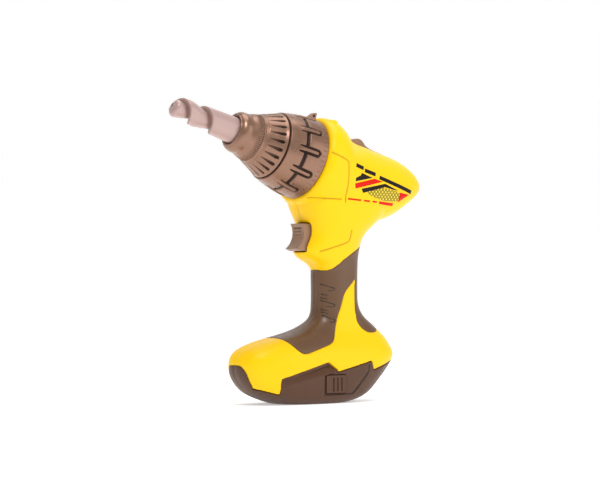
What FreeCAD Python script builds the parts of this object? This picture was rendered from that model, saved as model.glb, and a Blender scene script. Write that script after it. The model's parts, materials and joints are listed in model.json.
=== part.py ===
import FreeCAD, Part
import math
import os
from FreeCAD import Placement, Rotation, Vector

# Toy cordless drill, in millimetres. The drill points along -Y, its left side
# faces +X and +Z is up. The origin is on the ground under the handle's centre.
# "fore" is the distance forward of the handle's centre, so y = -fore.
# Along the barrel, "a" is the distance forward of the handle's plane, measured
# on the barrel's axis, and "up" is the height above that axis, square to it.

os.makedirs("parts", exist_ok=True)

# ---- driving dimensions -------------------------------------------------
BARREL_PITCH = 17.0        # nose-up tilt of the barrel, degrees
BARREL_HEIGHT = 160.3      # height of the barrel's axis at the handle's plane
WALL = 2.4                 # wall of the moulded shells
GRIP_SKIN = 1.4            # thickness of the soft grip over the shell
CLEAR = 0.3                # gap between bodies that move on each other
RUNNING = 0.06             # radial clearance of shafts in bushes
PACK_TILT = 15.0           # the pack pulls off square to this tilted seam, degrees

FLANGE_A = 27.5            # front face of the yellow body
COLLAR_LENGTH = 29.6
COLLAR_REAR_R = 28.6
COLLAR_FRONT_R = 24.1
COLLAR_KEYS = 11           # repeats of the zigzag groove round the collar
SLEEVE_LENGTH = 16.4
SLEEVE_REAR_R = 23.3
SLEEVE_FRONT_R = 16.9
SLEEVE_SLOTS = 24
NOSE_LENGTH = 16.2
NOSE_REAR_R = 16.4
BIT_RING_R = 9.75          # hole in the nose that the bit comes out of
BIT_R = 9.2
BIT_TIP_R = 7.3
BIT_TIP_A = 139.0
SPINDLE_R = 4.0
NOSE_TUBE_R = 12.0         # tube that the collar turns on
TRIGGER_HALF_WIDTH = 7.0
TRIGGER_LOW = 105.0
TRIGGER_HIGH = 124.0
CELL_R = 7.2
CELL_LENGTH = 50.0
CELL_X = 8.0
CELL_Z = 10.2
BLADE_X = 4.0              # distance of each terminal blade from the middle

# gears: module and teeth, so that each mesh has its own centre distance
OUTPUT_MODULE = 0.6
OUTPUT_TEETH = 30
IDLER_PINION_TEETH = 12
WHEEL_MODULE = 0.5
IDLER_WHEEL_TEETH = 32
MOTOR_PINION_TEETH = 10
BACKLASH = 0.08            # half the play between mating flanks
IDLER_UP = -OUTPUT_MODULE * (OUTPUT_TEETH + IDLER_PINION_TEETH) / 2
MOTOR_UP = IDLER_UP + WHEEL_MODULE * (IDLER_WHEEL_TEETH + MOTOR_PINION_TEETH) / 2

# ---- places and small helpers -------------------------------------------
BARREL = Placement(Vector(0, 0, BARREL_HEIGHT), Rotation(Vector(1, 0, 0), 90 - BARREL_PITCH))
HUGE = 400.0


def at(fore, height, x=0.0):
    return Vector(x, -fore, height)


def on_barrel(shape):
    """Moves a shape made round +Z, where z is the distance a, onto the barrel."""
    placed = shape.copy()
    placed.Placement = BARREL.multiply(placed.Placement)
    return placed


def box(x, fore, height):
    """A box from three (low, high) pairs."""
    size = [x[1] - x[0], fore[1] - fore[0], height[1] - height[0]]
    return Part.makeBox(*size, Vector(x[0], -fore[1], height[0]))


def barrel_box(x, up, a):
    """A box from three (low, high) pairs in the barrel's own directions."""
    size = [x[1] - x[0], up[1] - up[0], a[1] - a[0]]
    return on_barrel(Part.makeBox(*size, Vector(x[0], up[0], a[0])))


def rod(radius, a_low, a_high, up=0.0, x=0.0):
    """A cylinder parallel to the barrel."""
    return on_barrel(Part.makeCylinder(radius, a_high - a_low, Vector(x, up, a_low)))


def cross_rod(radius, x_low, x_high, fore, height):
    """A cylinder across the drill, along X."""
    return Part.makeCylinder(radius, x_high - x_low, at(fore, height, x_low), Vector(1, 0, 0))


def turned(points):
    """A solid turned about the barrel from (a, radius) points, closed at the end."""
    places = [Vector(r, 0, a) for a, r in points]
    face = Part.Face(Part.makePolygon(places + places[:1]))
    return on_barrel(face.revolve(Vector(0, 0, 0), Vector(0, 0, 1), 360))


def tube(inner, outer, a_low, a_high, up=0.0, x=0.0):
    return rod(outer, a_low, a_high, up, x).cut(rod(inner, a_low - 1, a_high + 1, up, x))


def side_prism(points, half_width=HUGE / 2):
    """A prism across the drill whose side outline is given as (fore, height)."""
    places = [at(f, z, -half_width) for f, z in points]
    face = Part.Face(Part.makePolygon(places + places[:1]))
    return face.extrude(Vector(2 * half_width, 0, 0))


def strip(points, width):
    """A prism across the drill that follows a line of (fore, height) points."""
    bars = []
    for (f0, z0), (f1, z1) in zip(points, points[1:]):
        length = math.hypot(f1 - f0, z1 - z0)
        nf = -(z1 - z0) / length * width / 2
        nz = (f1 - f0) / length * width / 2
        corners = [(f0 + nf, z0 + nz), (f1 + nf, z1 + nz), (f1 - nf, z1 - nz), (f0 - nf, z0 - nz)]
        bars.append(side_prism(corners))
        bars.append(cross_rod(width / 2, -HUGE / 2, HUGE / 2, f1, z1))
    return bars[0].multiFuse(bars[1:])


def coil(radius, wire_r, length, turns, start, direction):
    """A round-wire compression spring from start along direction."""
    helix = Part.makeHelix(length / turns, length, radius)
    profile = Part.Wire(Part.makeCircle(wire_r, Vector(radius, 0, 0), Vector(0, 1, 0)))
    spring = Part.Wire(helix.Edges).makePipeShell([profile], True, True)
    spring.Placement = Placement(start, Rotation(Vector(0, 0, 1), direction))
    return spring


def save(shape, name, join_faces=True):
    """Writes one node, after joining faces that booleans have split."""
    if join_faces:
        joined = shape.removeSplitter()
        if joined.isValid() and abs(joined.Volume - shape.Volume) < 0.001 * shape.Volume:
            shape = joined
    solids = [s for s in shape.Solids if s.Volume > 0.5]
    shape = solids[0] if len(solids) == 1 else Part.makeCompound(solids)
    shape.exportStep("parts/" + name + ".step")
    print(name, len(solids), "solid(s)", round(shape.Volume / 1000.0, 2), "cm3", shape.isValid())


# ---- the moulded body's outer form --------------------------------------
# height, rear end, front end, half width of the foot, handle and neck
STANCE = [
    (0.0, -2.0, 46.0, 15.0),
    (1.5, -11.0, 55.5, 18.6),
    (4.0, -18.5, 63.0, 20.6),
    (8.0, -25.0, 71.5, 21.8),
    (12.0, -29.5, 76.8, 22.3),
    (16.5, -34.0, 80.5, 22.5),
    (21.0, -38.3, 82.8, 22.6),
    (27.0, -43.2, 83.7, 22.6),
    (32.0, -45.8, 82.8, 22.3),
    (36.0, -45.4, 79.8, 21.3),
    (40.0, -43.2, 72.5, 19.6),
    (43.5, -40.8, 61.5, 17.8),
    (47.0, -37.8, 46.8, 16.0),
    (50.5, -33.8, 34.6, 14.4),
    (54.5, -29.0, 25.6, 13.3),
    (58.5, -23.6, 20.2, 12.9),
    (63.0, -19.6, 18.0, 12.8),
    (68.0, -17.4, 17.5, 12.8),
    (76.0, -16.6, 17.3, 12.8),
    (88.0, -16.6, 17.4, 12.9),
    (93.0, -16.6, 18.0, 13.2),
    (96.0, -16.7, 20.6, 13.6),
    (99.0, -16.8, 26.0, 14.2),
    (102.0, -17.0, 30.2, 14.9),
    (107.0, -17.6, 31.4, 16.0),
    (113.0, -18.9, 28.6, 17.6),
    (118.0, -21.8, 26.8, 19.2),
    (124.0, -28.4, 27.6, 21.2),
    (130.0, -34.4, 29.8, 23.2),
    (137.0, -37.0, 32.2, 25.2),
    (145.0, -36.0, 32.6, 26.2),
    (152.0, -32.0, 31.0, 26.0),
]
# a, top, bottom and half width of the head: a round front, a step down in its
# top behind the front, then a taper to the rounded tail
HEAD = [
    (27.5, 28.8, -28.8, 28.8),
    (26.3, 30.6, -30.6, 30.6),
    (23.5, 32.0, -31.9, 31.9),
    (19.0, 32.6, -32.6, 32.2),
    (14.5, 31.8, -32.6, 31.7),
    (10.5, 29.9, -32.4, 31.2),
    (7.0, 27.2, -32.2, 30.6),
    (3.8, 24.8, -32.0, 30.1),
    (0.8, 24.2, -31.8, 29.4),
    (-4.0, 23.7, -31.7, 28.4),
    (-12.0, 23.9, -31.2, 27.0),
    (-21.0, 24.2, -29.9, 25.2),
    (-32.0, 24.4, -26.7, 22.9),
    (-43.0, 24.6, -21.8, 20.3),
    (-53.0, 23.4, -14.6, 17.4),
    (-61.0, 21.1, -6.0, 14.2),
    (-66.5, 18.2, 0.6, 10.8),
    (-70.0, 15.2, 5.8, 7.2),
    (-71.8, 12.8, 8.8, 3.6),
]
HALF_POINTS = 11


def half_curve(places):
    """The left half of an outline: a curve from one end of the middle line to the other."""
    curve = Part.BSplineCurve()
    curve.interpolate(Points=places)
    chord = Part.LineSegment(places[-1], places[0])
    return Part.Wire([curve.toShape(), chord.toShape()])


def rounded(angle, power):
    """The cosine and sine of a superellipse, squarer as power rises above 2."""
    c, s = math.cos(angle), math.sin(angle)
    reach = (abs(c) ** power + abs(s) ** power) ** (-1.0 / power)
    return c * reach, s * reach


def stance_section(height, rear, front, half_width, inset):
    """One level outline. The handle is nearly round, the foot longer and squarer."""
    share = min(1.0, max(0.0, (front - rear - 34.0) / 66.0))
    power = 2.35 + 0.75 * share
    middle = rear + (front - rear) * (0.5 + 0.06 * share)
    places = []
    for i in range(HALF_POINTS):
        c, s = rounded(math.pi * i / (HALF_POINTS - 1), power)
        s = max(s, 0.0) if 0 < i < HALF_POINTS - 1 else 0.0
        reach = (front - inset - middle) if c > 0 else (middle - rear - inset)
        places.append(at(middle + c * reach, height, s * (half_width - inset)))
    return half_curve(places)


def stance(inset=0.0, low=-1.0, high=200.0, drop=0.0):
    levels = [s for s in STANCE if low <= s[0] <= high]
    wires = [stance_section(z - drop, r, f, w, inset) for z, r, f, w in levels]
    return Part.makeLoft(wires, True, False)


def head_section(a, top, bottom, half_width, inset):
    middle = (top + bottom) / 2
    places = []
    for i in range(HALF_POINTS):
        c, s = rounded(math.pi * i / (HALF_POINTS - 1), 2.15)
        s = s if 0 < i < HALF_POINTS - 1 else 0.0
        y = middle + c * ((top - bottom) / 2 - inset)
        places.append(Vector(s * (half_width - inset), y, a))
    return half_curve(places)


def moved_in(a, inset):
    """The head's ends move in with the inset, and its middle stays where it is."""
    front_zone, rear_zone = HEAD[0][0] - 10.0, HEAD[-1][0] + 14.0
    if a > front_zone:
        return a - 1.2 * inset * (a - front_zone) / 10.0
    if a < rear_zone:
        return a + 1.4 * inset * (rear_zone - a) / 14.0
    return a


def head(inset=0.0):
    wires = []
    for a, top, bottom, half_width in HEAD:
        if half_width - inset > 1.0 and (top - bottom) / 2 - inset > 1.0:
            wires.append(head_section(moved_in(a, inset), top, bottom, half_width, inset))
    return on_barrel(Part.makeLoft(wires, True, False))


def left_half(shape):
    return shape.common(Part.makeBox(HUGE / 2, HUGE, HUGE, Vector(0, -HUGE / 2, -HUGE / 4)))


def mirrored(shape):
    return shape.mirror(Vector(0, 0, 0), Vector(1, 0, 0))


def half_form():
    """Left half of the body's outer form: foot, handle and neck, and head."""
    return stance().fuse(head())


def hollows():
    """Inside of the left shell, in pieces so that sloping walls keep their thickness."""
    thick = WALL + GRIP_SKIN - 0.4
    foot_and_handle = stance(thick, high=88.0, drop=thick)
    handle_top = stance(thick, low=76.0, high=113.0, drop=-2.0)
    neck = stance(WALL, low=107.0, drop=-2.0)
    return [foot_and_handle, handle_top, neck, head(WALL)]


# ---- outlines seen from the side, (fore, height) ------------------------
SEAM = [(95.0, 31.0), (83.0, 27.5), (79.8, 20.0), (78.4, 17.1), (74.8, 11.6), (59.2, 7.4),
        (59.2, 17.8), (20.5, 28.7), (13.0, 23.2), (12.6, 21.9), (-17.5, 28.8), (-19.8, 22.6),
        (-60.0, 34.4)]
GRIP_SIDE = [(40.0, 94.0), (21.0, 93.6), (15.0, 91.3), (9.8, 92.8), (0.4, 100.6),
             (-13.7, 108.1), (-30.0, 115.0), (-30.0, 94.0), (-12.2, 87.8), (0.4, 76.7),
             (3.0, 67.7), (8.0, 53.9), (13.4, 41.8), (41.5, 33.6), (54.5, 46.6), (60.0, 60.0)]
GRIP_BACK = [(-30.0, 95.0), (-11.0, 88.0), (-9.3, 80.0), (-9.3, 71.0), (-9.8, 60.0), (-11.0, 55.0),
             (-15.0, 50.5), (-20.0, 48.2), (-27.0, 48.5), (-34.0, 51.5), (-45.0, 56.0), (-45.0, 95.0)]
SCREWS = [(12.5, 192.3), (-50.0, 158.0), (-36.0, 136.0), (22.0, 136.5), (-9.5, 95.0),
          (9.0, 64.0), (-28.0, 38.0), (62.0, 30.5)]


def below_seam(lower=0.0):
    """Everything under the seam, lowered square to it by the given gap."""
    tilt = math.radians(PACK_TILT)
    df, dz = -lower * math.sin(tilt), -lower * math.cos(tilt)
    points = [(f + df, z + dz) for f, z in SEAM]
    return side_prism(points + [(-60.0, -40.0), (95.0, -40.0)])


def pack_direction():
    tilt = math.radians(PACK_TILT)
    return Vector(0, math.sin(tilt), -math.cos(tilt))


# ---- sub-parts: the yellow body -----------------------------------------
def eased(points, reach):
    """The same outline with every corner replaced by a short curve."""
    places = []
    for before, corner, after in zip(points[-1:] + points[:-1], points, points[1:] + points[:1]):
        ends = []
        for other in (before, after):
            share = min(0.4, reach / math.hypot(other[0] - corner[0], other[1] - corner[1]))
            ends.append([c + (o - c) * share for c, o in zip(corner, other)])
        for t in (0.0, 0.33, 0.67, 1.0):
            weights = ((1 - t) ** 2, 2 * t * (1 - t), t ** 2)
            trio = (ends[0], corner, ends[1])
            places.append(tuple(sum(w * p[k] for w, p in zip(weights, trio)) for k in (0, 1)))
    return places


def grip_zone():
    """Room of the soft grip: the handle's side, its back and the foot's saddle."""
    zone = side_prism(eased(GRIP_SIDE, 5.0)).fuse(side_prism(eased(GRIP_BACK, 2.0)))
    band = box((0, 40), (-60, 100), (30.0, 112.0))
    core = stance(GRIP_SKIN, high=124.0, drop=GRIP_SKIN)
    return zone.common(band).cut(core)


def trigger_way():
    gap = 0.7
    w = TRIGGER_HALF_WIDTH + gap
    return box((-w, w), (8.0, 60.0), (TRIGGER_LOW - gap, TRIGGER_HIGH + gap))


def selector_channel():
    """Flat-bottomed channel along the head's top, with a slot for the stem."""
    channel = barrel_box((-6.4, 6.4), (20.9, 40.0), (-41.0, -3.6))
    slot = barrel_box((-3.1, 3.1), (10.0, 26.0), (-30.5, -7.5))
    return channel.fuse(slot)


def half_width_at(form, fore, height):
    """Distance from the middle plane to the outside, straight across the drill."""
    line = Part.LineSegment(at(fore, height, 0.0), at(fore, height, 60.0)).toShape()
    return line.common(form).Length


def half_shell(form, grip_room):
    shell = form
    for hollow in hollows():
        shell = shell.cut(hollow)
    pad = barrel_box((0.0, 9.0), (17.5, 21.9), (-43.0, -2.5)).common(head(0.9))
    frame = box((0.0, 12), (24.0, 31.0), (TRIGGER_LOW - 3, TRIGGER_HIGH + 3)).common(stance(0.9))
    wall = left_half(rod(30.0, 21.5, 25.8)).common(head(0.9))
    bosses = [cross_rod(3.4, 0.0, half_width_at(form, f, z) - 1.9, f, z) for f, z in SCREWS]
    shell = shell.multiFuse(bosses + [pad, frame, wall])
    for cutter in (grip_room, below_seam(-0.1), trigger_way(), selector_channel(),
                   rod(23.2, -1.5, 21.5), rod(NOSE_TUBE_R + 0.1, 0.0, 40.0)):
        shell = shell.cut(cutter)
    return shell


def make_body():
    form = half_form()
    grip_room = grip_zone()
    grip = form.common(grip_room)
    left = half_shell(form, grip_room)
    right = mirrored(left)
    right_grip = mirrored(grip)
    for fore, height in SCREWS:
        left = left.cut(cross_rod(1.3, -1.0, 9.0, fore, height))
        right = right.cut(cross_rod(1.3, -60.0, 1.0, fore, height))
        head_room = cross_rod(2.9, -60.0, -9.0, fore, height)
        right = right.cut(head_room)
        right_grip = right_grip.cut(head_room)
    for piece, name in ((left, "left_housing"), (right, "right_housing"),
                        (grip, "left_grip"), (right_grip, "right_grip")):
        save(max(piece.Solids, key=lambda solid: solid.Volume), name, join_faces=False)
    return form


def make_screws():
    screws = []
    for fore, height in SCREWS:
        shank = cross_rod(1.25, -10.0, 8.0, fore, height)
        screw_head = cross_rod(2.6, -11.6, -9.1, fore, height)
        cross = box((-12.0, -10.8), (fore - 1.6, fore + 1.6), (height - 0.3, height + 0.3))
        cross = cross.fuse(box((-12.0, -10.8), (fore - 0.3, fore + 0.3), (height - 1.6, height + 1.6)))
        screws.append(shank.fuse(screw_head).cut(cross))
    save(Part.makeCompound(screws), "housing_screws")


def make_pointer():
    """Small fin with a hole on top of the drum, beside the collar."""
    outline = [(27.6, 28.0), (34.5, 28.4), (29.7, 33.6), (27.6, 34.0)]
    places = [Vector(-2.4, up, a) for a, up in outline]
    fin = Part.Face(Part.makePolygon(places + places[:1])).extrude(Vector(4.8, 0, 0))
    hole = Part.makeCylinder(0.9, 10.0, Vector(-5.0, 31.3, 29.6), Vector(1, 0, 0))
    fin = on_barrel(fin.cut(hole))
    save(fin.cut(rod(28.9, 20.0, 60.0)), "torque_pointer")


# ---- sub-parts: collar, chuck and bit -----------------------------------
def collar_radius(a):
    """Outer radius of the torque collar at distance a."""
    share = (a - FLANGE_A) / COLLAR_LENGTH
    return COLLAR_REAR_R + (COLLAR_FRONT_R - COLLAR_REAR_R) * share ** 1.25 + 0.9 * math.sin(math.pi * share)


def radial_block(width, a_low, a_high, angle, inner, outer, tilt=0.0):
    """A block standing out from the axis at an angle, used to cut grooves."""
    block = Part.makeBox(width, outer - inner, a_high - a_low, Vector(-width / 2, inner, a_low))
    if tilt:
        block.rotate(Vector(0, 0, (a_low + a_high) / 2), Vector(0, 1, 0), tilt)
    block.rotate(Vector(0, 0, 0), Vector(0, 0, 1), angle)
    return block


def collar_groove(angle):
    """One key of the zigzag groove: two long legs, a bridge and a link to the next key."""
    depth = 1.5
    rear = FLANGE_A + 9.0
    front = FLANGE_A + 22.0
    step = 360.0 / COLLAR_KEYS
    cuts = []
    for turn in (-7.0, 7.0):
        inner = collar_radius(rear) - depth - 1.0
        cuts.append(radial_block(1.3, rear, front - 3.0, angle + turn, inner, 40.0))
    for k in range(-2, 3):
        inner = collar_radius(rear) - depth - 0.6
        cuts.append(radial_block(1.9, rear - 1.3, rear, angle + k * 3.0, inner, 40.0))
    for k in range(6):
        turn = 7.0 + k * (step - 14.0) / 5.0
        inner = collar_radius(front) - depth - 0.4
        cuts.append(radial_block(2.4, front - 3.0, front - 1.4, angle + turn, inner, 40.0))
    return cuts


def make_collar():
    low, high = FLANGE_A + CLEAR, FLANGE_A + COLLAR_LENGTH - CLEAR
    count = 7
    outer = [(low + (high - low) * i / (count - 1), 0) for i in range(count)]
    outer = [(a, collar_radius(a)) for a, _ in outer]
    places = [Vector(r, 0, a) for a, r in outer]
    curve = Part.BSplineCurve()
    curve.interpolate(places)
    inner = [(high, COLLAR_FRONT_R - 3.4), (high - 10.0, COLLAR_FRONT_R - 1.8),
             (low + 7.5, COLLAR_REAR_R - 3.4), (low, COLLAR_REAR_R - 3.0)]
    corners = [places[-1]] + [Vector(r, 0, a) for a, r in inner] + [places[0]]
    edges = [curve.toShape()]
    edges += [Part.LineSegment(p, q).toShape() for p, q in zip(corners, corners[1:])]
    ring = Part.Face(Part.Wire(edges)).revolve(Vector(0, 0, 0), Vector(0, 0, 1), 360)
    cuts = []
    for i in range(COLLAR_KEYS):
        cuts += collar_groove(360.0 * i / COLLAR_KEYS)
    cutter = cuts[0].multiFuse(cuts[1:])
    ring = ring.cut(cutter)
    web = tube(NOSE_TUBE_R + CLEAR, COLLAR_REAR_R - 2.4, 44.0, 46.5)
    hub = tube(NOSE_TUBE_R + CLEAR, NOSE_TUBE_R + 2.6, 32.0, 54.0)
    save(on_barrel(ring).fuse(web).fuse(hub), "torque_collar")


def make_detent_ring():
    ring = tube(NOSE_TUBE_R, 17.0, FLANGE_A, FLANGE_A + 2.0)
    tongue = barrel_box((-2.0, 2.0), (16.0, 21.5), (FLANGE_A, FLANGE_A + 1.2))
    save(ring.fuse(tongue), "detent_ring")


def make_collar_retainer():
    save(tube(NOSE_TUBE_R, NOSE_TUBE_R + 3.2, 54.4, 56.0), "collar_retainer")


SLEEVE_A = FLANGE_A + COLLAR_LENGTH + CLEAR
NOSE_A = SLEEVE_A + SLEEVE_LENGTH
RING_A = NOSE_A + NOSE_LENGTH


def sleeve_radius(a):
    share = (a - SLEEVE_A) / SLEEVE_LENGTH
    return SLEEVE_REAR_R + (SLEEVE_FRONT_R - SLEEVE_REAR_R) * share


def sleeve_slot(angle):
    """One tapering slot, wide and round at the rear, fading out at the front."""
    rear, front = SLEEVE_A + 3.2, SLEEVE_A + 12.4
    places = [Vector(-1.0, 0, rear), Vector(1.0, 0, rear), Vector(0.25, 0, front), Vector(-0.25, 0, front)]
    wedge = Part.Face(Part.makePolygon(places + places[:1])).extrude(Vector(0, 40.0, 0))
    round_end = Part.makeCylinder(1.0, 40.0, Vector(0, 0, rear), Vector(0, 1, 0))
    slot = wedge.fuse(round_end)
    slot.translate(Vector(0, sleeve_radius(rear) - 1.5, 0))
    slope = math.degrees(math.atan2(SLEEVE_REAR_R - SLEEVE_FRONT_R, SLEEVE_LENGTH))
    slot.rotate(Vector(0, sleeve_radius(rear) - 1.5, rear), Vector(1, 0, 0), slope)
    slot.rotate(Vector(0, 0, 0), Vector(0, 0, 1), angle)
    return slot


def make_sleeve():
    outline = [(SLEEVE_A, SPINDLE_R), (SLEEVE_A, SLEEVE_REAR_R - 0.8), (SLEEVE_A + 0.8, SLEEVE_REAR_R),
               (SLEEVE_A + 2.6, sleeve_radius(SLEEVE_A + 2.4)),
               (NOSE_A - 3.0, sleeve_radius(NOSE_A - 3.0)), (NOSE_A - 2.6, sleeve_radius(NOSE_A - 3.0) - 0.5),
               (NOSE_A - 2.0, sleeve_radius(NOSE_A - 3.0) - 0.5), (NOSE_A - 1.7, SLEEVE_FRONT_R + 0.3),
               (NOSE_A - 0.5, SLEEVE_FRONT_R), (NOSE_A, SLEEVE_FRONT_R - 0.6), (NOSE_A, SPINDLE_R)]
    sleeve = turned(outline)
    slots = [sleeve_slot(360.0 * (i + 0.5) / SLEEVE_SLOTS) for i in range(SLEEVE_SLOTS)]
    cutter = on_barrel(slots[0].multiFuse(slots[1:]))
    recess = tube(9.0, 18.0, SLEEVE_A - 1.0, SLEEVE_A + 6.0)
    save(sleeve.cut(cutter).cut(recess), "chuck_sleeve")


def make_nose():
    outer = [(NOSE_A + 0.3, NOSE_REAR_R), (NOSE_A + 3.0, 16.0), (NOSE_A + 6.0, 15.0), (NOSE_A + 8.5, 14.3),
             (NOSE_A + 11.5, 14.2), (NOSE_A + 14.2, 13.2), (RING_A - 0.5, 11.6), (RING_A, BIT_RING_R + 0.5)]
    places = [Vector(r, 0, a) for a, r in outer]
    curve = Part.BSplineCurve()
    curve.interpolate(places)
    bore = [(RING_A - 0.2, BIT_RING_R), (NOSE_A + 5.0, BIT_RING_R), (NOSE_A + 5.0, SPINDLE_R),
            (NOSE_A, SPINDLE_R), (NOSE_A, NOSE_REAR_R - 0.6)]
    corners = [places[-1]] + [Vector(r, 0, a) for a, r in bore] + [places[0]]
    edges = [curve.toShape()]
    edges += [Part.LineSegment(p, q).toShape() for p, q in zip(corners, corners[1:])]
    face = Part.Face(Part.Wire(edges))
    save(on_barrel(face.revolve(Vector(0, 0, 0), Vector(0, 0, 1), 360)), "chuck_nose")


FLUTE_START = 108.0
FLUTE_PITCH = 17.6
FLUTE_DEPTH = 3.4
FLUTE_PHASE = -2.43        # direction of the hollow where the flute starts, radians
BIT_SIDES = 30
BIT_STATIONS = 22


def bit_radius(a):
    share = (a - RING_A) / (BIT_TIP_A - RING_A)
    return BIT_R + (BIT_TIP_R - BIT_R) * share


def bit_section(a, depth, shrink=0.0):
    """Many-sided section with one wide hollow, which turns as it goes along the bit."""
    turn = FLUTE_PHASE + 2 * math.pi * (a - FLUTE_START) / FLUTE_PITCH
    places = []
    for i in range(BIT_SIDES):
        angle = 2 * math.pi * i / BIT_SIDES
        hollow = max(0.0, math.cos(angle - turn)) ** 2
        r = bit_radius(a) - shrink - depth * hollow
        places.append(Vector(r * math.cos(angle), r * math.sin(angle), a))
    return Part.makePolygon(places + places[:1])


def make_bit():
    """Blunt moulded bit: smooth tapered shank, then one fat spiral flute."""
    shank = turned([(NOSE_A + 5.0, 0), (NOSE_A + 5.0, BIT_R), (RING_A, BIT_R),
                    (FLUTE_START, bit_radius(FLUTE_START)), (FLUTE_START, 0)])
    wires = [bit_section(FLUTE_START - 1.0, 0.3, 0.4)]
    for i in range(BIT_STATIONS):
        share = i / (BIT_STATIONS - 1)
        a = FLUTE_START + (BIT_TIP_A - 1.8 - FLUTE_START) * share
        wires.append(bit_section(a, FLUTE_DEPTH * min(1.0, 0.15 + share * 5)))
    wires.append(bit_section(BIT_TIP_A, FLUTE_DEPTH - 1.0, 2.0))
    fluted = on_barrel(Part.makeLoft(wires, True, True))
    socket = rod(SPINDLE_R, NOSE_A, RING_A)
    save(shank.fuse(fluted).cut(socket), "drill_bit")


def make_spindle():
    shaft = turned([(7.6, 0), (7.6, SPINDLE_R - 0.4), (8.0, SPINDLE_R), (RING_A - 0.6, SPINDLE_R),
                    (RING_A, SPINDLE_R - 0.6), (RING_A, 0)])
    groove = tube(SPINDLE_R - 0.6, SPINDLE_R + 1.0, 56.6, 57.2)
    save(shaft.cut(groove), "spindle")
    clip = tube(SPINDLE_R - 0.6, SPINDLE_R + 1.8, 56.6, 57.2)
    save(clip.cut(barrel_box((-1.2, 1.2), (0, 10), (56.0, 58.0))), "spindle_clip")


# ---- sub-parts: gearbox and motor ---------------------------------------
def gear(module, teeth, a_low, a_high, up, bore, phase=0.0):
    """A spur gear about an axis parallel to the barrel, with straight tapered teeth."""
    pitch_r = module * teeth / 2
    tip_r, root_r = pitch_r + module * 0.9, pitch_r - module * 1.15
    half_gap = BACKLASH / pitch_r
    quarter = math.pi / (2 * teeth)
    places = []
    for i in range(teeth):
        centre = 2 * math.pi * i / teeth + phase
        for r, spread in ((root_r, 1.55), (pitch_r, 1.0), (tip_r, 0.5)):
            angle = centre - (quarter * spread - half_gap)
            places.append(Vector(r * math.cos(angle), up + r * math.sin(angle), a_low))
        for r, spread in ((tip_r, 0.5), (pitch_r, 1.0), (root_r, 1.55)):
            angle = centre + (quarter * spread - half_gap)
            places.append(Vector(r * math.cos(angle), up + r * math.sin(angle), a_low))
    face = Part.Face(Part.makePolygon(places + places[:1]))
    body = on_barrel(face.extrude(Vector(0, 0, a_high - a_low)))
    return body.cut(rod(bore, a_low - 1, a_high + 1, up))


def make_gear_train():
    down = -math.pi / 2
    output = gear(OUTPUT_MODULE, OUTPUT_TEETH, 8.4, 14.0, 0.0, SPINDLE_R, down)
    holes = [rod(1.2, 5.0, 20.0, 6.3 * math.sin(t), 6.3 * math.cos(t)) for t in (0.5, 2.6, 3.7, 5.7)]
    for hole in holes:
        output = output.cut(hole)
    save(output, "output_gear")
    half_pinion = math.pi / IDLER_PINION_TEETH
    pinion = gear(OUTPUT_MODULE, IDLER_PINION_TEETH, 6.4, 14.4, IDLER_UP, 1.5 + RUNNING, -down + half_pinion)
    wheel = gear(WHEEL_MODULE, IDLER_WHEEL_TEETH, 2.2, 6.4, IDLER_UP, 1.5 + RUNNING, -down)
    save(pinion.fuse(wheel), "idler_gear")
    half_tooth = math.pi / MOTOR_PINION_TEETH
    save(gear(WHEEL_MODULE, MOTOR_PINION_TEETH, 1.8, 6.6, MOTOR_UP, 1.0, down + half_tooth), "motor_pinion")
    save(rod(1.5, -1.4, 17.0, IDLER_UP), "idler_pin")


def make_gearbox():
    cup = tube(21.4, 23.0, 0.8, 20.0)
    wall = rod(23.0, 15.4, 21.4)
    nose_tube = rod(NOSE_TUBE_R, 20.0, 56.0)
    case = cup.fuse(wall).fuse(nose_tube)
    case = case.cut(rod(6.6, 0.0, 70.0))
    case = case.cut(rod(1.5, 10.0, 17.0, IDLER_UP))
    save(case, "gearbox_case")
    plate = rod(23.0, -1.4, 0.6)
    plate = plate.cut(rod(3.4, -3.0, 3.0, MOTOR_UP)).cut(rod(1.5, -3.0, 3.0, IDLER_UP))
    save(plate, "gearbox_plate")
    for name, low, high in (("rear_bush", 15.4, 20.4), ("front_bush", 50.0, 56.0)):
        save(tube(SPINDLE_R + RUNNING, 6.6, low, high), name)


MOTOR_REAR = -28.0
MOTOR_FRONT = -1.6


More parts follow.
